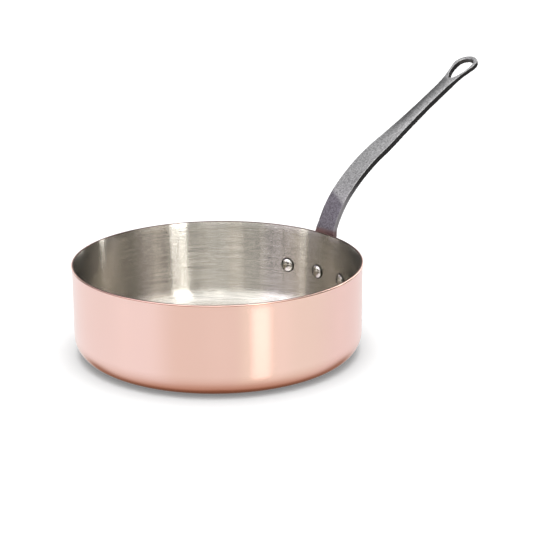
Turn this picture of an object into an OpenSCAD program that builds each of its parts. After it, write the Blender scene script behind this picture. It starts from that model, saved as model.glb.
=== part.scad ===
// Straight-sided saute pan: a copper body with a steel lining, an iron handle and three rivets.
// The pan's axis is Z and the handle points along +X. The origin is the centre of the base's
// underside, and all sizes are in millimetres.

/* [Pan] */
// Outer diameter of the straight wall
pan_d = 240; // [180:1:300]
// Height from the underside of the base to the rim
pan_h = 77; // [65:1:110]
// Thickness of the copper
copper_t = 1.7; // [1:0.1:3]
// Thickness of the steel lining
lining_t = 0.3; // [0.2:0.05:0.6]
// Outer radius of the corner between base and wall
corner_r = 17; // [8:0.5:25]
// Height of the flared lip below the rim
lip_h = 6; // [3:0.5:9]
// How far the lip stands out from the wall
lip_out = 0.6; // [0.3:0.1:2]

/* [Rivets] */
// Distance from the rim down to the rivets' axes
rivet_drop = 36; // [30:1:42]
// Angle between neighbouring rivets, about the pan's axis
rivet_step = 16; // [13:0.5:22]
// Diameter of the rivets' shanks
rivet_d = 6; // [4:0.5:7]
// Diameter of the domed heads inside the pan
head_d = 13; // [10:0.5:16]
// Height of the domed heads inside the pan
head_h = 2.6; // [1.5:0.1:4]
// Diameter of the peened ends outside the flange
peen_d = 11; // [9:0.5:12]
// Height of the peened ends outside the flange
peen_h = 1.5; // [1:0.1:2.5]
// Space around the middle rivet's peened end, for the riveting tool
peen_gap = 1.5; // [1:0.5:3]

/* [Handle] */
// Thickness of the flange that is riveted to the wall
flange_t = 4; // [3:0.5:6]
// Height of the flange
flange_h = 30; // [24:1:36]
// Thickness of the handle's bar
bar_t = 4; // [3:0.5:6]
// Width of the handle through the bend
bar_w = 20.4; // [18:0.2:26]
// Width of the neck where it grows out of the flange
neck_w = 30; // [26:1:36]
// Lean of the neck away from upright
neck_lean = 13; // [8:1:16]
// Height of the straight neck above the flange
neck_rise = 15; // [10:1:20]
// How far above the rim the neck stops flaring
flare_rise = 8; // [4:1:14]
// Radius of the first bend, on the top face
bend_1_r = 80; // [50:1:120]
// Slope of the handle between the two bends, from level
mid_slope = 45; // [38:1:52]
// Radius of the second bend, on the top face
bend_2_r = 160; // [100:5:220]
// Slope of the straight bar, from level
bar_slope = 27; // [15:1:34]
// Radius of the swelling where the straight bar begins
swell_r = 250; // [150:10:400]
// Distance along the bar to its waist
waist_at = 88; // [70:1:110]
// Width of the bar at its waist
waist_w = 13; // [11:0.2:16]
// Length of the waist that has parallel sides
waist_len = 10; // [2:1:14]

/* [Hanging eye] */
// Distance from the start of the waist to the eye's centre
eye_dist = 50.5; // [44:0.5:60]
// Outer diameter of the eye
eye_d = 24.2; // [23:0.2:32]
// Width of the eye's hole
hole_w = 17.5; // [12:0.5:19]
// Length of the eye's hole, from its round end to its narrow end
hole_len = 32; // [28:1:36]
// Radius of the hole's narrow end
hole_tip_r = 3.5; // [2:0.5:4.5]
// Radius of the hole's long sides
hole_side_r = 34; // [28:1:60]

/* [Hidden] */
$fn = 180;
// Facets of the lip's arcs
fine_fn = 720;
// Steps along each long arc of the handle's outlines, and round the eye
arc_steps = 12;
eye_steps = 36;
// Length by which a cutting tool runs past what it cuts
past = 5;

pan_r = pan_d / 2;
wall_t = copper_t + lining_t;
inner_r = pan_r - wall_t;
// Radius of the lip's outer face, from its height and how far it stands out
lip_r = (lip_h * lip_h + lip_out * lip_out) / (2 * lip_out);

rivet_z = pan_h - rivet_drop;
flange_r = pan_r + flange_t;
flange_top = rivet_z + flange_h / 2;
flange_end_r = flange_h / 2;
rivet_y = pan_r * sin(rivet_step);

// Unit vectors along the handle's top face and down into the handle, for a slope in degrees
function along(slope) = [cos(slope), sin(slope)];
function into(slope) = [sin(slope), -cos(slope)];

// Points on an arc after its first one, by its angles from the first axis
function arc(mid, radius, from, to, steps = arc_steps) =
    [for (i = [1:steps]) mid + radius * along(from + (to - from) * i / steps)];

// Points on the top face in the plane of X and Z, from the flange to the straight bar
neck_slope = 90 - neck_lean;
neck_low = [flange_r, flange_top];
bend_1_start = neck_low + along(neck_slope) * neck_rise / sin(neck_slope);
bend_1_mid = bend_1_start + into(neck_slope) * bend_1_r;
bend_2_start = bend_1_mid - into(mid_slope) * bend_1_r;
bend_2_mid = bend_2_start + into(mid_slope) * bend_2_r;
bar_start = bend_2_mid - into(bar_slope) * bend_2_r;

// Where the neck's outer face runs into the flange, and where the neck stops flaring
neck_back = bend_1_start + into(neck_slope) * bar_t;
neck_foot = [flange_r, neck_back[1] - (neck_back[0] - flange_r) * tan(neck_slope)];
flare_top = neck_low + along(neck_slope) * (pan_h + flare_rise - flange_top) / sin(neck_slope);

// Distance along the straight bar's line, from bar_start, of a point in the side view
function run(point) = (point - bar_start) * along(bar_slope);

// The bar's outline in its own plane, from bar_start: arcs that run into one another
waist_depth = (bar_w - waist_w) / 2;
hollow_r = (waist_at * waist_at + waist_depth * waist_depth) / (2 * waist_depth) - swell_r;
swell_turn = asin(waist_at / (swell_r + hollow_r));
waist_end = waist_at + waist_len;
eye_r = eye_d / 2;
eye_run = eye_dist - waist_len;
eye_at = waist_at + eye_dist;
shoulder_r = (eye_run * eye_run + waist_w * waist_w / 4 - eye_r * eye_r) / (eye_d - waist_w);
shoulder_turn = asin(eye_run / (shoulder_r + eye_r));
hole_r = hole_w / 2;
hole_run = hole_len - hole_r - hole_tip_r;

// Middles of the hole's long sides, from the eye's centre, and the turns where the sides meet the ends
to_round = hole_side_r - hole_r;
to_narrow = hole_side_r - hole_tip_r;
side_x = (to_narrow * to_narrow - to_round * to_round - hole_run * hole_run) / (2 * hole_run);
side_y = sqrt(to_round * to_round - side_x * side_x);
round_turn = atan2(side_y, -side_x);
narrow_turn = atan2(side_y, -hole_run - side_x);

// Section of a skin of the pan, between two depths below its outer face
module skin_section(outer, inner) {
    translate([0, outer]) square([pan_r - corner_r, inner - outer]);
    intersection() {
        translate([pan_r - corner_r, 0]) square(corner_r);
        translate([pan_r - corner_r, corner_r]) difference() {
            circle(corner_r - outer);
            circle(corner_r - inner);
        }
    }
    translate([pan_r - inner, corner_r]) square([inner - outer, pan_h - lip_h - corner_r]);
    intersection() {
        translate([pan_r - inner, pan_h - lip_h]) square([inner + lip_out, lip_h]);
        translate([pan_r + lip_r, pan_h - lip_h]) difference() {
            circle(lip_r + inner, $fn = fine_fn);
            circle(lip_r + outer, $fn = fine_fn);
        }
    }
}

// Bores of the three rivets, through the wall and the flange
module rivet_bores() {
    for (side = [-1, 0, 1]) rotate([0, 0, side * rivet_step])
        translate([inner_r - past, 0, rivet_z]) rotate([0, 90, 0])
            cylinder(d = rivet_d, h = wall_t + flange_t + bar_t + 2 * past);
}

module copper_body() {
    color([0.85, 0.62, 0.5]) difference() {
        rotate_extrude() skin_section(0, copper_t);
        rivet_bores();
    }
}

module steel_lining() {
    color([0.78, 0.77, 0.74]) difference() {
        rotate_extrude() skin_section(copper_t, wall_t);
        rivet_bores();
    }
}

// Top or bottom face of the neck and both bends, at a depth below the top face
function bends(depth) = concat(
    [bend_1_start + into(neck_slope) * depth],
    arc(bend_1_mid, bend_1_r - depth, 90 + neck_slope, 90 + mid_slope),
    arc(bend_2_mid, bend_2_r - depth, 90 + mid_slope, 90 + bar_slope)
);

// Side view of the handle, with X across the page and Z up
module side_view() {
    bar_tip = bar_start + along(bar_slope) * (eye_at + eye_r + past);
    top = bends(0);
    polygon(concat(
        [[inner_r, neck_foot[1]], neck_foot],
        bends(bar_t),
        [bar_tip + into(bar_slope) * bar_t, bar_tip],
        [for (i = [len(top) - 1:-1:0]) top[i]],
        [neck_low, [inner_r, flange_top]]
    ));
}

// Outline of the arm, square to the straight bar, from the neck's foot to the end of the eye
module arm_outline() {
    side = concat(
        [[run([inner_r, neck_foot[1]]), neck_w / 2], [run(neck_foot), neck_w / 2]],
        [[run(flare_top), bar_w / 2], [0, bar_w / 2]],
        arc([0, bar_w / 2 - swell_r], swell_r, 90, 90 - swell_turn),
        arc([waist_at, waist_w / 2 + hollow_r], hollow_r, 270 - swell_turn, 270),
        [[waist_end, waist_w / 2]],
        arc([waist_end, waist_w / 2 + shoulder_r], shoulder_r, 270, 270 + shoulder_turn),
        arc([eye_at, 0], eye_r, 90 + shoulder_turn, 0, eye_steps)
    );
    polygon(concat(side, [for (i = [len(side) - 2:-1:0]) [side[i][0], -side[i][1]]]));
}

// Places a drawing of the straight bar's plane, as deep as given on both sides of the top face
module in_bar_plane(deep) {
    translate([bar_start[0], 0, bar_start[1]]) rotate([0, -bar_slope, 0])
        linear_extrude(2 * deep, center = true) children();
}

// Neck, bends, bar and eye: the side view cut to the arm's outline
module arm() {
    intersection() {
        rotate([90, 0, 0]) linear_extrude(2 * neck_w, center = true) side_view();
        in_bar_plane(bar_start[0]) arm_outline();
    }
}

// Plate with round ends that follows the wall
module flange() {
    intersection() {
        cylinder(r = flange_r, h = flange_top + past);
        rotate([90, 0, 90]) linear_extrude(flange_r + past) {
            translate([-rivet_y, rivet_z - flange_end_r]) square([2 * rivet_y, flange_h]);
            for (side = [-1, 1]) translate([side * rivet_y, rivet_z]) circle(flange_end_r);
        }
    }
}

// Teardrop hole: a round end and a narrow end, joined by long arcs
module eye_hole() {
    polygon(concat(
        arc([eye_at, 0], hole_r, round_turn, -round_turn, eye_steps),
        arc([eye_at + side_x, side_y], hole_side_r, -round_turn, -narrow_turn),
        arc([eye_at - hole_run, 0], hole_tip_r, 360 - narrow_turn, narrow_turn),
        arc([eye_at + side_x, -side_y], hole_side_r, narrow_turn, round_turn)
    ));
}

// Seat for the middle rivet's peened end, cut into the neck down to the flange
module peen_seat() {
    difference() {
        translate([pan_r, 0, rivet_z]) rotate([0, 90, 0])
            cylinder(d = peen_d + 2 * peen_gap, h = flange_t + 2 * bar_t + past);
        cylinder(r = flange_r, h = flange_top + past);
    }
}

module handle() {
    color([0.34, 0.34, 0.35]) difference() {
        union() {
            flange();
            arm();
        }
        in_bar_plane(2 * bar_t) eye_hole();
        cylinder(r = pan_r, h = flange_top + past);
        rivet_bores();
        peen_seat();
    }
}

// Cap of a ball, as wide and as high as given, that stands out from x = 0 along -X
module dome(width, height) {
    ball_r = (width * width / 4 + height * height) / (2 * height);
    translate([ball_r - height, 0, 0]) sphere(ball_r);
}

// Rivet along X at the wall: domed head inside the pan, shank, peened end outside the flange
module rivet(side) {
    color([0.82, 0.82, 0.82]) rotate([0, 0, side * rivet_step]) union() {
        intersection() {
            translate([inner_r, 0, rivet_z]) dome(head_d, head_h);
            cylinder(r = inner_r, h = pan_h);
        }
        translate([inner_r - head_h / 2, 0, rivet_z]) rotate([0, 90, 0])
            cylinder(d = rivet_d, h = wall_t + flange_t + (head_h + peen_h) / 2);
        difference() {
            translate([flange_r, 0, rivet_z]) mirror([1, 0, 0]) dome(peen_d, peen_h);
            cylinder(r = flange_r, h = pan_h);
        }
    }
}

module rivet_left() {
    rivet(1);
}

module rivet_middle() {
    rivet(0);
}

module rivet_right() {
    rivet(-1);
}

copper_body();
steel_lining();
handle();
rivet_left();
rivet_middle();
rivet_right();
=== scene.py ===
"""A straight-sided copper saute pan with a brushed steel lining and a riveted iron handle."""

from math import asin, cos, degrees, hypot, pi, radians, sin, sqrt

import bmesh
import bpy
from mathutils import Matrix, Vector


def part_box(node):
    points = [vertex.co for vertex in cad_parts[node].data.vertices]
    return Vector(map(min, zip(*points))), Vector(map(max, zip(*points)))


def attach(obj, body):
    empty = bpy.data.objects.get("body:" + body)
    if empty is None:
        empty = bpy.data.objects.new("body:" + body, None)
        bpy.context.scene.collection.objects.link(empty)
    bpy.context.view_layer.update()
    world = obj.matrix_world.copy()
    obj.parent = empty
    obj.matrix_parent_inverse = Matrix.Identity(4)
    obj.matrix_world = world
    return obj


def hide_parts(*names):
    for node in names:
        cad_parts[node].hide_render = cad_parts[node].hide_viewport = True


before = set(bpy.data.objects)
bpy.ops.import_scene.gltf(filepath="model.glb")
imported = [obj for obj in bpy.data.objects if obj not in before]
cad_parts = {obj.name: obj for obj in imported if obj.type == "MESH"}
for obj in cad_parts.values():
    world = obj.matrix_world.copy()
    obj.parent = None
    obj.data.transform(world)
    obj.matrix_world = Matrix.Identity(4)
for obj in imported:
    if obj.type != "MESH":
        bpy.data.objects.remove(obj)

scene = bpy.context.scene
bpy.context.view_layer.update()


# Copper body. One sheet of copper, raised to a low cup with a flat base, a small corner and a
# lip that flares a little, then satin polished. Brushing runs round the wall. Painted shade darkens
# the copper round the foot, for the ground's contact shadow that the wall mirrors there, on a thin
# line just under the lip, and on the rim beside the lining.
MM = 0.001
copper_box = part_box("copper_body")
lining_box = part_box("steel_lining")
pan_height = copper_box[1].z
lip_out = 0.6 * MM
lip_height = 6 * MM
lip_radius = (lip_height ** 2 + lip_out ** 2) / (2 * lip_out)
corner = 17 * MM
wall_radius = copper_box[1].x - lip_out
copper_thick = lining_box[0].z
edge_round = 0.8 * MM
edge_inset = 0.02 * MM
around = 320
sharp_turn = radians(35)

# Heights up to which painted shade darkens the copper towards the foot.
broad_shade_top = 21 * MM
foot_shade_top = 8 * MM
# Depths below the rim of a thin brown line of painted shade under the lip.
lip_shade_low = -0.95 * MM
lip_shade_high = -0.4 * MM
lip_shade_soft = 0.1 * MM
# Where painted shade darkens the rim beside the lining.
seam_edge = wall_radius - 0.25 * MM
seam_soft = 0.2 * MM
seam_rise = (-0.4 * MM, -0.1 * MM)
top_rise = (-0.5 * MM, -0.2 * MM)


def colour(red, green, blue):
    return (red, green, blue, 1.0)


ROSE = colour(0.955, 0.66, 0.595)
PALE_ROSE = colour(0.965, 0.675, 0.615)
# The four colours below are painted shade, not the copper's own tone.
SHADED_COPPER = colour(0.55, 0.22, 0.12)
FOOT_SHADE_BROWN = colour(0.16, 0.055, 0.03)
LIP_SHADE_BROWN = colour(0.42, 0.21, 0.15)
SEAM_SHADE_BROWN = colour(0.14, 0.07, 0.055)


def arc(centre, radius, start, end, steps):
    """Points on an arc from one angle to another, in degrees."""
    turns = [radians(start + (end - start) * i / steps) for i in range(steps + 1)]
    return [(centre[0] + radius * cos(t), centre[1] + radius * sin(t)) for t in turns]


def face_profile(depth):
    """The pan's section at a depth below its outer face, from the axis to the rim."""
    lip_turn = degrees(asin(lip_height / (lip_radius + depth)))
    lip_middle = (wall_radius + lip_radius, pan_height - lip_height)
    points = [(0, depth), ((wall_radius - corner) / 2, depth)]
    points += arc((wall_radius - corner, corner), corner - depth, -90, 0, 16)
    points += [(wall_radius - depth, corner + (pan_height - lip_height - corner) / 2)]
    points += arc(lip_middle, lip_radius + depth, 180, 180 - lip_turn, 8)
    return points


def lathe(name, profile, segments=around):
    """A mesh turned about Z, with the turn and the length along the profile as its UV."""
    mesh = bpy.data.meshes.new(name)
    shape = bmesh.new()
    uv = shape.loops.layers.uv.new("turned")
    lengths = [0]
    for a, b in zip(profile, profile[1:]):
        lengths.append(lengths[-1] + hypot(b[0] - a[0], b[1] - a[1]))
    turns = [2 * pi * i / segments for i in range(segments)]
    rings = []
    for radius, height in profile:
        if radius == 0:
            rings.append([shape.verts.new((0, 0, height))] * segments)
        else:
            rings.append([shape.verts.new((radius * cos(t), radius * sin(t), height)) for t in turns])
    for row, (low, high) in enumerate(zip(rings, rings[1:])):
        for i in range(segments):
            j = (i + 1) % segments
            quad = [(low[i], i, row), (low[j], i + 1, row)]
            quad += [(high[j], i + 1, row + 1), (high[i], i, row + 1)]
            corners = {}
            for vert, turn, step in quad:
                corners.setdefault(vert, (turn / segments, lengths[step]))
            face = shape.faces.new(list(corners))
            face.smooth = True
            for loop in face.loops:
                loop[uv].uv = corners[loop.vert]
    shape.to_mesh(mesh)
    shape.free()
    mesh.set_sharp_from_angle(angle=sharp_turn)
    made = bpy.data.objects.new(name, mesh)
    scene.collection.objects.link(made)
    return made


class Shade:
    """A socket of a node tree that can be added, multiplied and compared like a number."""

    def __init__(self, tree, socket):
        self.tree = tree
        self.socket = socket

    def node(self, kind, inputs=(), output=0, **settings):
        """Adds any other node, with its inputs by name or number, and gives one of its outputs."""
        made = self.tree.nodes.new(kind)
        for name, value in settings.items():
            setattr(made, name, value)
        for name, value in dict(inputs).items():
            if isinstance(value, Shade):
                self.tree.links.new(value.socket, made.inputs[name])
            else:
                made.inputs[name].default_value = value
        return Shade(self.tree, made.outputs[output])

    def math(self, operation, *values):
        return self.node("ShaderNodeMath", dict(enumerate(values)), operation=operation)

    def __add__(self, other):
        return self.math("ADD", self, other)

    def __radd__(self, other):
        return self.math("ADD", other, self)

    def __sub__(self, other):
        return self.math("SUBTRACT", self, other)

    def __rsub__(self, other):
        return self.math("SUBTRACT", other, self)

    def __mul__(self, other):
        return self.math("MULTIPLY", self, other)

    def __rmul__(self, other):
        return self.math("MULTIPLY", other, self)

    def __pow__(self, other):
        return self.math("POWER", self, other)

    def step(self, low, high):
        """0 below low, 1 above high and smooth between them."""
        return self.node(
            "ShaderNodeMapRange",
            {"Value": self, "From Min": low, "From Max": high},
            interpolation_type="SMOOTHSTEP",
        )

    def band(self, low, high, soft):
        """1 between low and high and 0 outside, with edges that are soft to each side."""
        return self.step(low - soft, low + soft) * (1 - self.step(high - soft, high + soft))

    def mix(self, first, second):
        """The first colour where this is 0 and the second where it is 1."""
        return self.node(
            "ShaderNodeMix",
            {"Factor": self, 6: first, 7: second},
            output=2,
            data_type="RGBA",
        )

    def vector(self, operation, *values):
        return self.node("ShaderNodeVectorMath", dict(enumerate(values)), operation=operation)

    def times(self, factor):
        """This vector or colour, each part multiplied by one number."""
        return self.node("ShaderNodeVectorMath", {0: self, "Scale": factor}, operation="SCALE")

    def stretched(self, x, y, z):
        """This vector or colour with each part multiplied by its own number."""
        return self.vector("MULTIPLY", self, (x, y, z))

    def parts(self):
        made = self.node("ShaderNodeSeparateXYZ", {0: self})
        return [Shade(self.tree, output) for output in made.socket.node.outputs]

    def noise(self, scale, detail=2.0, roughness=0.5):
        return self.node(
            "ShaderNodeTexNoise",
            {"Vector": self, "Scale": scale, "Detail": detail, "Roughness": roughness},
        )


def new_material(name):
    """A material with a node tree, its principled shader and a start for its node values."""
    made = bpy.data.materials.new(name)
    made.use_nodes = True
    shader = made.node_tree.nodes["Principled BSDF"]
    start = Shade(made.node_tree, shader.outputs[0])
    return made, shader, start


def feed(shader, **values):
    """Sets or links inputs of a shader. An underscore in a name stands for a blank."""
    for name, value in values.items():
        socket = shader.inputs[name.replace("_", " ")]
        if isinstance(value, Shade):
            value.tree.links.new(value.socket, socket)
        else:
            socket.default_value = value


def coordinates(start, kind):
    return start.node("ShaderNodeTexCoord", output=kind)


def brushed(start, place, ripple):
    """The normal, tilted by a ripple across brushing that runs round the pan's axis."""
    normal = start.node("ShaderNodeNewGeometry", output="Normal")
    x, y, _ = place.parts()
    way_round = start.node("ShaderNodeCombineXYZ", {0: y * -1.0, 1: x})
    way_round = start.vector("NORMALIZE", way_round)
    across = start.vector("CROSS_PRODUCT", normal, way_round)
    return start.vector("NORMALIZE", start.vector("ADD", normal, across.times(ripple)))


def copper_material():
    made, shader, start = new_material("satin_copper")
    turned = coordinates(start, "UV")
    place = coordinates(start, "Object")
    x, y, z = place.parts()
    from_rim = z - pan_height
    brushing = turned.stretched(40, 16000, 1).noise(1.0, 3.0, 0.6)
    broad = turned.stretched(14, 900, 1).noise(1.0, 2.0)
    tint = place.noise(9.0, 3.0).step(0.35, 0.7).mix(ROSE, PALE_ROSE)
    # Painted shade: darker towards the foot, for the contact shadow that the wall mirrors there.
    tint = z.step(0, broad_shade_top).mix(SHADED_COPPER, tint)
    tint = z.step(0, foot_shade_top).mix(FOOT_SHADE_BROWN, tint)
    # Painted shade: a thin brown line just under the lip, for the shade under its flare.
    tint = from_rim.band(lip_shade_low, lip_shade_high, lip_shade_soft).mix(tint, LIP_SHADE_BROWN)
    # Painted shade on the rim's inner edge, where the lining's edge meets the copper.
    beyond_seam = (x * x + y * y).step((seam_edge - seam_soft) ** 2, (seam_edge + seam_soft) ** 2)
    seam = from_rim.step(*seam_rise) * (1 - beyond_seam)
    top = from_rim.step(*top_rise)
    feed(
        shader,
        Base_Color=seam.mix(tint, SEAM_SHADE_BROWN),
        Metallic=1.0,
        Roughness=0.165 + brushing * 0.05 + broad * 0.03 + top * 0.2,
        Anisotropic=0.85,
        Anisotropic_Rotation=0.25,
        Normal=brushed(start, place, (brushing - 0.5) * 0.15 + (broad - 0.5) * 0.02),
    )
    return made


def finish_piece(piece, node, material):
    """Puts a piece in the place of a CAD node, on the pan's one body, with its material."""
    piece.data.materials.clear()
    piece.data.materials.append(material)
    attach(piece, "root")
    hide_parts(node)


outer = face_profile(0)
inner = face_profile(copper_thick)
rim_outer = outer.pop()[0]
rim_inner = inner.pop()[0]
rim = [(rim_outer - edge_inset, pan_height - edge_round)]
rim += arc((rim_outer - edge_round, pan_height - edge_round), edge_round, 10, 90, 8)
rim += [(rim_inner, pan_height)]
copper = lathe("copper_body_satin", outer + rim + inner[::-1])
finish_piece(copper, "copper_body", copper_material())


# Steel lining. A thin skin of steel, bonded to the copper and brushed round the pan, so its lines
# run level on the wall and in rings on the floor. Its top edge is ground flush with the rim.
lining_thick = 0.3 * MM
lining_round = 0.15 * MM
lining_inset = 0.01 * MM
# Depth below the rim of the painted shade on the lining's top edge.
seam_shade_rise = (-0.5 * MM, -0.15 * MM)
wall_thick = copper_thick + lining_thick

DIM_STEEL = colour(0.575, 0.555, 0.52)
FAIR_STEEL = colour(0.685, 0.665, 0.63)
SCRATCHED_STEEL = colour(0.8, 0.79, 0.76)


def lining_material():
    made, shader, start = new_material("brushed_lining")
    turned = coordinates(start, "UV")
    place = coordinates(start, "Object")
    from_rim = place.parts()[2] - pan_height
    fine = turned.stretched(60, 30000, 1).noise(1.0, 2.0, 0.65)
    streaks = turned.stretched(22, 900, 1).noise(1.0, 1.0, 0.5)
    scratch = turned.stretched(9, 2600, 1).noise(1.0, 1.0).step(0.66, 0.78)
    tint = streaks.step(0.32, 0.68).mix(DIM_STEEL, FAIR_STEEL)
    tint = (scratch * 0.4).mix(tint, SCRATCHED_STEEL)
    # The lining's top edge is darkened by painted shade at the seam.
    feed(
        shader,
        Base_Color=from_rim.step(*seam_shade_rise).mix(tint, SEAM_SHADE_BROWN),
        Metallic=1.0,
        Roughness=0.14 + fine * 0.06 + streaks * 0.04,
        Anisotropic=1.0,
        Anisotropic_Rotation=0.25,
        Normal=brushed(start, place, (fine - 0.5) * 2.0 + (streaks - 0.5) * 0.2),
    )
    return made


skin = face_profile(wall_thick)
bond = face_profile(copper_thick)
skin_rim = skin.pop()[0]
bond_rim = bond.pop()[0]
lip_edge = [(skin_rim + lining_inset, pan_height - lining_round)]
lip_edge += arc((skin_rim + lining_round, pan_height - lining_round), lining_round, 160, 90, 3)
lip_edge += [(bond_rim, pan_height)]
lining = lathe("steel_lining_brushed", skin + lip_edge + bond[::-1])
for face in lining.data.polygons:
    face.flip()
finish_piece(lining, "steel_lining", lining_material())


# Rivets. Three solid steel rivets hold the handle: polished domed heads inside the pan, and ends
# peened over the handle's flange outside.
rivet_step = radians(16)
rivet_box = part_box("rivet_middle")
inside = wall_radius - wall_thick
head_radius = (rivet_box[1].z - rivet_box[0].z) / 2
rivet_height = (rivet_box[1].z + rivet_box[0].z) / 2
head_rise = inside - rivet_box[0].x
head_seat = 0.5 * MM
flange_thick = 4 * MM
flange_face = wall_radius + flange_thick
shank_radius = 3 * MM
peen_radius = 5.5 * MM
peen_rise = rivet_box[1].x - flange_face

WORN_STEEL = colour(0.7, 0.69, 0.67)
BRIGHT_STEEL = colour(0.82, 0.81, 0.8)
RIVET_RIM_SHADE = colour(0.07, 0.065, 0.055)


def dome(radius, rise, steps):
    """Section of a button head from its tip to its rim: distance from the axis, and depth."""
    turns = [pi / 2 * i / steps for i in range(steps + 1)]
    return [(radius * sin(t), rise * (1 - cos(t))) for t in turns]


def bump(height, strength, distance):
    return height.node("ShaderNodeBump", {"Height": height, "Strength": strength, "Distance": distance})


def rivet_material():
    """Polished steel with small dents, and a dark ring of painted shade where the head's rim meets the
    wall.
    """
    made, shader, start = new_material("polished_rivet")
    place = coordinates(start, "Object")
    from_tip = coordinates(start, "UV").parts()[1]
    worn = place.noise(420.0, 3.0)
    dents = place.noise(160.0, 1.0)
    # Painted shade round the head's rim, where it turns down into the wall.
    ring = from_tip.step(0.78 * head_radius, 0.98 * head_radius)
    steel = worn.step(0.35, 0.75).mix(WORN_STEEL, BRIGHT_STEEL)
    feed(
        shader,
        Base_Color=ring.mix(steel, RIVET_RIM_SHADE),
        Metallic=1.0,
        Roughness=0.06 + worn * 0.05,
        Normal=bump(dents * 2.0 + worn * 0.3, 0.2, 0.2 * MM),
    )
    return made


rivet_finish = rivet_material()
head = [(r, head_rise - inside - depth) for r, depth in dome(head_radius, head_rise, 14)]
shank = [(head_radius, -inside - head_seat), (shank_radius, -inside - head_seat)]
shank += [(shank_radius, -flange_face)]
peen = [(r, depth - peen_rise - flange_face) for r, depth in dome(peen_radius, peen_rise, 10)]
for side, name in enumerate(("rivet_right", "rivet_middle", "rivet_left"), -1):
    rivet = lathe(name + "_polished", head + shank + peen[::-1], 64)
    rivet.data.transform(
        Matrix.Rotation(side * rivet_step, 4, "Z")
        @ Matrix.Translation((0, 0, rivet_height))
        @ Matrix.Rotation(radians(-90), 4, "Y")
    )
    finish_piece(rivet, name, rivet_finish)


# Handle. A grey iron casting, riveted to the wall by its flange. The mould rounds its edges and
# leaves a fine grain. Its top face is dressed. Its colour carries painted shade on the lower end, on
# the left side and edge of the upper bar and in the eye, the undressed faces are darker iron with
# painted shade along the bar and painted light at the neck, and a painted reflection of the copper
# tints it up to just above the rim.
belly = 0.9 * MM
belly_end = 284 * MM
eye_start = 296 * MM
eye_middle = Vector((308.5, 0, 197.5)) * MM
eye_up = Vector((-0.454, 0, 0.891))
hole_start = 287 * MM
hole_draft = 1.3 * MM
neck_shift = 2.1 * MM
neck_rise = (56 * MM, 78 * MM)
neck_fade = (125 * MM, 80 * MM)
cast_skin = 0.18 * MM
skin_rise = (130 * MM, 150 * MM)
crown = 0.6 * MM
crown_half = 7 * MM
crown_rise = (160 * MM, 210 * MM)
crown_fade = (302 * MM, 288 * MM)
mould_grain = 0.45 * MM
mould_softness = 10

# Where painted shade darkens the lower end of the handle: a slanting, wandering line.
shade_line = (102 * MM, 106 * MM)
shade_lean = 0.42
shade_wander = 8 * MM
# Where painted shade darkens the left side of the upper bar.
left_shade_across = (-4.5 * MM, 9 * MM)
left_shade_wander = 4 * MM
left_shade_rise = (200 * MM, 240 * MM)
left_shade_fade = (286 * MM, 296 * MM)
side_shade = (94 * MM, 120 * MM)
hollow_start = (298 * MM, 304 * MM)
clear_of_rim = (-1 * MM, 3 * MM)

# Grain colours of the top face. Below the line they are darker copies, as painted shade.
SHADED_LOW_DARK = colour(0.1, 0.094, 0.108)
SHADED_LOW_LIGHT = colour(0.265, 0.25, 0.285)
HIGH_DARK = colour(0.195, 0.194, 0.198)
HIGH_LIGHT = colour(0.565, 0.562, 0.572)
# Colours of the undressed faces: darker iron, nearly black along the bar as painted shade and grey at the
# neck as painted light.
LIT_NECK_SIDE = colour(0.42, 0.4, 0.42)
SHADED_BAR_SIDE = colour(0.012, 0.011, 0.012)
# Painted shade for the inner wall of the eye's hole.
HOLLOW_SHADE = colour(0.08, 0.075, 0.07)
# A painted reflection of the copper rim.
RIM_REFLECTION_TINT = colour(0.22, 0.15, 0.15)


def ramp(value, low, high):
    """0 at one value and beyond it, 1 at another and straight between them."""
    return max(0, min(1, (value - low) / (high - low)))


def lower_face_moves(shape):
    """How far each point of the underside moves: down by the belly, and in at the eye's hole."""
    moves = {}
    for point in shape.verts:
        below = [f.normal for f in point.link_faces if f.normal.x - f.normal.z > 1.15]
        walls = [f.normal for f in point.link_faces if abs(f.normal.dot(eye_up)) < 0.3]
        inward = [n for n in walls if n.dot(eye_middle - point.co) > 0]
        if below:
            moves[point] = below[0] * (belly * ramp(point.co.x, eye_start, belly_end))
        if below and inward and point.co.x > hole_start:
            moves[point] += sum(inward, Vector()).normalized() * hole_draft
    return moves


def cast_piece(name, node):
    """A copy of a CAD node, a little thicker below and with its edges rounded as a casting's are."""
    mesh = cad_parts[node].data.copy()
    shape = bmesh.new()
    shape.from_mesh(mesh)
    bmesh.ops.remove_doubles(shape, verts=shape.verts, dist=0.001 * MM)
    for point, move in lower_face_moves(shape).items():
        point.co += move
    for point in shape.verts:
        z = point.co.z
        point.co.x -= neck_shift * ramp(z, *neck_rise) * ramp(z, *neck_fade)
    shape.to_mesh(mesh)
    shape.free()
    made = bpy.data.objects.new(name, mesh)
    scene.collection.objects.link(made)
    remesh = made.modifiers.new("remesh", "REMESH")
    remesh.mode = "VOXEL"
    remesh.voxel_size = mould_grain
    remesh.use_smooth_shade = True
    smooth = made.modifiers.new("smooth", "SMOOTH")
    smooth.factor = 0.5
    smooth.iterations = mould_softness
    depsgraph = bpy.context.evaluated_depsgraph_get()
    done = bpy.data.meshes.new_from_object(made.evaluated_get(depsgraph))
    made.modifiers.clear()
    made.data = done
    shape = bmesh.new()
    shape.from_mesh(done)
    for point in shape.verts:
        x, y, _ = point.co
        point.co += point.normal * (cast_skin * ramp(x, *skin_rise))
        arch = crown * ramp(x, *crown_rise) * ramp(x, *crown_fade)
        point.co.z -= arch * min(1, (y / crown_half) ** 2)
    shape.to_mesh(done)
    shape.free()
    for polygon in done.polygons:
        polygon.use_smooth = True
    return made


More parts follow.
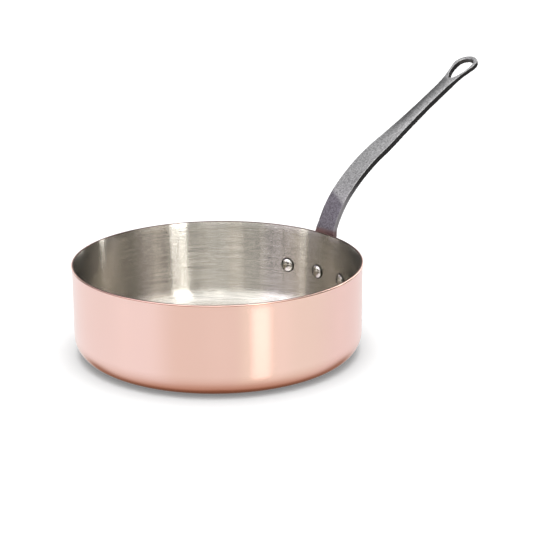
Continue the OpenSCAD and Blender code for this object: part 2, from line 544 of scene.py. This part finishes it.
def iron_material():
    made, shader, start = new_material("cast_iron")
    place = coordinates(start, "Object")
    x, y, z = place.parts()
    facing_x, facing_y, facing_z = coordinates(start, "Normal").parts()
    grain = place.noise(620.0, 4.0, 0.75)
    patches = place.noise(60.0, 2.0)
    light = grain.step(0.3, 0.66)

    dressed = ((facing_z - facing_x) * sqrt(0.5)).step(0.5, 0.8)
    # Painted shade: below a slanting line, the lower end takes the darker grain colours.
    above_shade_line = (z - y * shade_lean + (patches - 0.5) * shade_wander).step(*shade_line)
    tint = above_shade_line.mix(light.mix(SHADED_LOW_DARK, SHADED_LOW_LIGHT), light.mix(HIGH_DARK, HIGH_LIGHT))
    # Painted shade: the left side of the upper bar is darker, as its crown turns it from the light.
    left_shade = (y + patches * left_shade_wander).step(*left_shade_across)
    left_shade = left_shade * x.step(*left_shade_rise) * (1 - x.step(*left_shade_fade))
    # Painted shade on the left edge, where the surface turns towards +Y.
    edge = facing_y.step(0.12, 0.4)
    tint = tint.times((1 - left_shade * 0.72) * (1 - edge * 0.55))

    # The undressed faces: darker as-cast iron, nearly black along the bar as painted shade and grey at
    # the neck as painted light.
    side_shading = z.step(*side_shade).mix(LIT_NECK_SIDE, SHADED_BAR_SIDE)
    # Painted shade on the inner wall of the eye's hole.
    hollow = x.step(*hollow_start) * (1 - facing_x.step(-0.5, -0.15))
    tint = dressed.mix(hollow.mix(side_shading, HOLLOW_SHADE), tint)
    # Painted reflection: the copper rim tints the handle up to just above the rim.
    above_rim = (z - pan_height).step(*clear_of_rim)
    feed(
        shader,
        Base_Color=above_rim.mix(RIM_REFLECTION_TINT, tint),
        Metallic=dressed * 0.6,
        Roughness=0.3 + grain * 0.16 + (1 - dressed) * 0.2,
        Specular_IOR_Level=0.25,
        Normal=bump(grain, 0.6, 0.3 * MM),
    )
    return made


handle = cast_piece("handle_cast", "handle")
finish_piece(handle, "handle", iron_material())


# Ground. A white sweep under the pan that keeps only its soft shadow. The metal doesn't mirror it,
# because the light's tent has its own floor.
ground_half = 8.0


def ground_material():
    made, shader, _ = new_material("white_ground")
    feed(shader, Base_Color=colour(0.85, 0.85, 0.85), Roughness=1.0, Specular_IOR_Level=0.0)
    feed(shader, Emission_Color=colour(1, 1, 1), Emission_Strength=0.2)
    return made


ground_mesh = bpy.data.meshes.new("ground")
ground_corners = [(-ground_half, -ground_half, 0), (ground_half, -ground_half, 0)]
ground_corners += [(ground_half, ground_half, 0), (-ground_half, ground_half, 0)]
ground_mesh.from_pydata(ground_corners, [], [(0, 1, 2, 3)])
ground = bpy.data.objects.new("ground", ground_mesh)
ground.data.materials.append(ground_material())
ground.visible_diffuse = False
ground.visible_glossy = False
scene.collection.objects.link(ground)


# Camera. The photograph is taken from the side away from the handle, a little above the rim,
# with a long lens. The pan's axis stands a little left of the middle of the picture.
photo_width = 560
focal_pixels = 1600
sensor = 36.0
camera_distance = 1.2689
camera_height = 0.4627
handle_turn = radians(41.9)
camera_yaw = radians(2.331)
camera_pitch = radians(17.651)
camera_roll = radians(-0.074)

heading = handle_turn + camera_yaw
level = Vector((cos(heading), -sin(heading), 0))
forward = Vector((sin(heading), cos(heading), 0)) * cos(camera_pitch)
forward.z = -sin(camera_pitch)
upright = level.cross(forward)
right = cos(camera_roll) * level + sin(camera_roll) * upright
upward = cos(camera_roll) * upright - sin(camera_roll) * level

lens = bpy.data.cameras.new("camera")
lens.sensor_width = sensor
lens.lens = sensor * focal_pixels / photo_width
lens.clip_end = 50
camera = bpy.data.objects.new("camera", lens)
camera.matrix_world = Matrix.Translation(
    (-camera_distance * sin(handle_turn), -camera_distance * cos(handle_turn), camera_height)
) @ Matrix((right, upward, -forward)).transposed().to_4x4()
scene.collection.objects.link(camera)
scene.camera = camera


# Light. A studio tent, painted in the world as the metal mirrors it: a pale floor, walls of bright
# and dim bands, a dim ring above them and a glow overhead. What isn't mirrored, such as the
# ground, is lit by an even light and a soft one from overhead.
GREY = (1.0, 0.985, 0.96)
WARM = (1.0, 0.985, 0.935)
BROWN = (1.0, 0.87, 0.77)
MAUVE = (1.0, 0.9, 1.0)
LILAC = (1.0, 0.945, 1.0)
TAN = (1.0, 0.93, 0.84)

FIRST_WALL = colour(0.12, 0.12, 0.12)
WALLS = (
    (-133, 4, 0.04, GREY), (-118, 0.8, 0.75, MAUVE), (-106, 5, 0.08, MAUVE), (-94, 4, 0.6, MAUVE),
    (-77, 2, 1.2, LILAC), (-43, 8, 0.82, WARM), (-22, 6, 0.62, WARM), (-8, 5, 0.98, WARM),
    (4, 5, 0.84, WARM), (15, 3, 0.58, WARM), (26, 0.8, 6.5, WARM), (39.5, 0.8, 0.74, TAN),
    (65, 4, 0.45, TAN), (75, 4, 0.01, BROWN), (119, 3, 0.1, GREY), (137, 4, 2.2, GREY),
    (162, 6, 0.12, GREY),
)
WALL_LIMIT = (5.6, 5.5, 5.2)
SIDE_STRIPS = ((-172, -140, 1.5, GREY), (-80.5, -73.5, 2.6, WARM), (105, 110, 5.0, WARM))

FIRST_FLOOR = colour(0.95, 0.97, 0.98)
FLOOR = (
    (-45, 14, (0.86, 0.82, 0.765)), (17, 5, (0.92, 0.92, 0.83)), (45, 4, (0.98, 0.98, 0.93)),
    (58, 8, (0.92, 0.94, 0.88)), (95, 20, (0.9, 0.88, 0.885)),
)
FLOOR_UNDER_PAN = colour(0.74, 0.64, 0.58)
FLOOR_IN_SHADE = colour(0.4, 0.25, 0.18)
FRONT_STRIP = colour(1.32, 1.25, 1.15)

DIM_RING = colour(0.4, 0.4, 0.4)
FIRST_GLOW = colour(2.5, 2.48, 2.44)
FIRST_ZENITH = colour(0.9, 0.89, 0.87)
LATER_GLOW = colour(3.4, 3.4, 3.4)
THIRD_DIMMED = (0.38, 0.33, 0.28)
AFTER_DIFFUSE = colour(0.1, 0.1, 0.1)

under_pan = (-80, -42)
shade_edge = (-36, -24)
strip_foot = (-34, -26)
horizon = (-4, 2)
side_strip_foot = (-2, 4)
side_strip_top = (16, 30)
wall_rise = (15, 40)
ring_rise = (46, 54)
glow_rise = (60, 70)
zenith_rise = (74, 82)


class Tent:
    """Where a ray points in the tent, and masks and bands made from that."""

    def __init__(self, start):
        direction = coordinates(start, "Generated")
        x, y, self.rise = direction.parts()
        aside = x * cos(handle_turn) - y * sin(handle_turn)
        ahead = x * -sin(handle_turn) - y * cos(handle_turn)
        self.turn = start.math("ARCTAN2", aside, ahead) * degrees(1)

    def above(self, rise):
        """0 below the first of two angles over the horizon, in degrees, and 1 above the second."""
        return self.rise.step(*[sin(radians(angle)) for angle in rise])

    def bands(self, first, steps):
        """A colour that changes with the turn from the camera's side, in degrees to its right.

        Each step is the turn where it changes, half the width of that edge, and the new colour.
        """
        shown = first
        for turn, soft, tint in steps:
            shown = self.turn.step(turn - soft, turn + soft).mix(shown, colour(*tint))
        return shown


def scaled(hue, value):
    return [value * part for part in hue]


def tent_floor(tent):
    """The pale floor, browner straight below, and in the pan's own shade on its far side."""
    floor = tent.bands(FIRST_FLOOR, FLOOR)
    floor = tent.above(under_pan).mix(FLOOR_UNDER_PAN, floor)
    behind = 1 - tent.turn.band(-125, 125, 20)
    return (behind * (1 - tent.above(shade_edge))).mix(floor, FLOOR_IN_SHADE)


def tent_walls(tent):
    """The walls' bands, which brighten with height up to a limit."""
    walls = tent.bands(FIRST_WALL, [(turn, soft, scaled(hue, value)) for turn, soft, value, hue in WALLS])
    walls = walls.times(tent.above(wall_rise) * 1.6 + 1.0)
    return walls.vector("MINIMUM", walls, WALL_LIMIT)


def tent_strips(tent, bright):
    """The front strip light's image on the floor, and the strip lights that stand at the sides."""
    strip = tent.turn.band(26, 40.5, 2) * tent.above(strip_foot) * (1 - tent.above(horizon))
    bright = strip.mix(bright, FRONT_STRIP)
    low_sky = tent.above(side_strip_foot) * (1 - tent.above(side_strip_top))
    for first, last, glow, hue in SIDE_STRIPS:
        strip = tent.turn.band(first, last, 0.8) * low_sky
        bright = strip.mix(bright, colour(*scaled(hue, glow)))
    return bright


def tent_top(tent, bright, reflections):
    """The dim ring and the glow above it, weaker in a first reflection than in later ones."""
    bright = tent.above(ring_rise).mix(bright, DIM_RING)
    glow = tent.above(zenith_rise).mix(FIRST_GLOW, FIRST_ZENITH)
    glow = reflections.step(1.2, 1.8).mix(glow, LATER_GLOW)
    return tent.above(glow_rise).mix(bright, glow)


def studio():
    world = bpy.data.worlds.new("studio")
    world.use_nodes = True
    scene.world = world
    tree = world.node_tree
    tree.nodes.clear()
    out = tree.nodes.new("ShaderNodeOutputWorld")
    start = Shade(tree, out.inputs[0])
    tent = Tent(start)
    reflections = start.node("ShaderNodeLightPath", output="Glossy Depth")
    diffused = start.node("ShaderNodeLightPath", output="Diffuse Depth")
    glossy = start.node("ShaderNodeLightPath", output="Is Glossy Ray")
    seen = start.node("ShaderNodeLightPath", output="Is Camera Ray")

    bright = tent.above(horizon).mix(tent_floor(tent), tent_walls(tent))
    bright = tent_top(tent, tent_strips(tent, bright), reflections)
    third = reflections.band(2.5, 3.5, 0.3)
    bright = third.mix(bright, bright.stretched(*THIRD_DIMMED))
    bright = diffused.step(0, 1).mix(bright, AFTER_DIFFUSE)

    overhead = start.math("MAXIMUM", tent.rise, 0.0)
    soft_light = 0.45 + overhead ** 12.0 * 5.6
    soft_light = start.node("ShaderNodeCombineColor", {0: soft_light, 1: soft_light, 2: soft_light})
    light = seen.mix(glossy.mix(soft_light, bright), colour(1, 1, 1))
    background = start.node("ShaderNodeBackground", {"Color": light, "Strength": 1.0})
    tree.links.new(background.socket, out.inputs[0])


studio()
scene.view_settings.view_transform = "Standard"
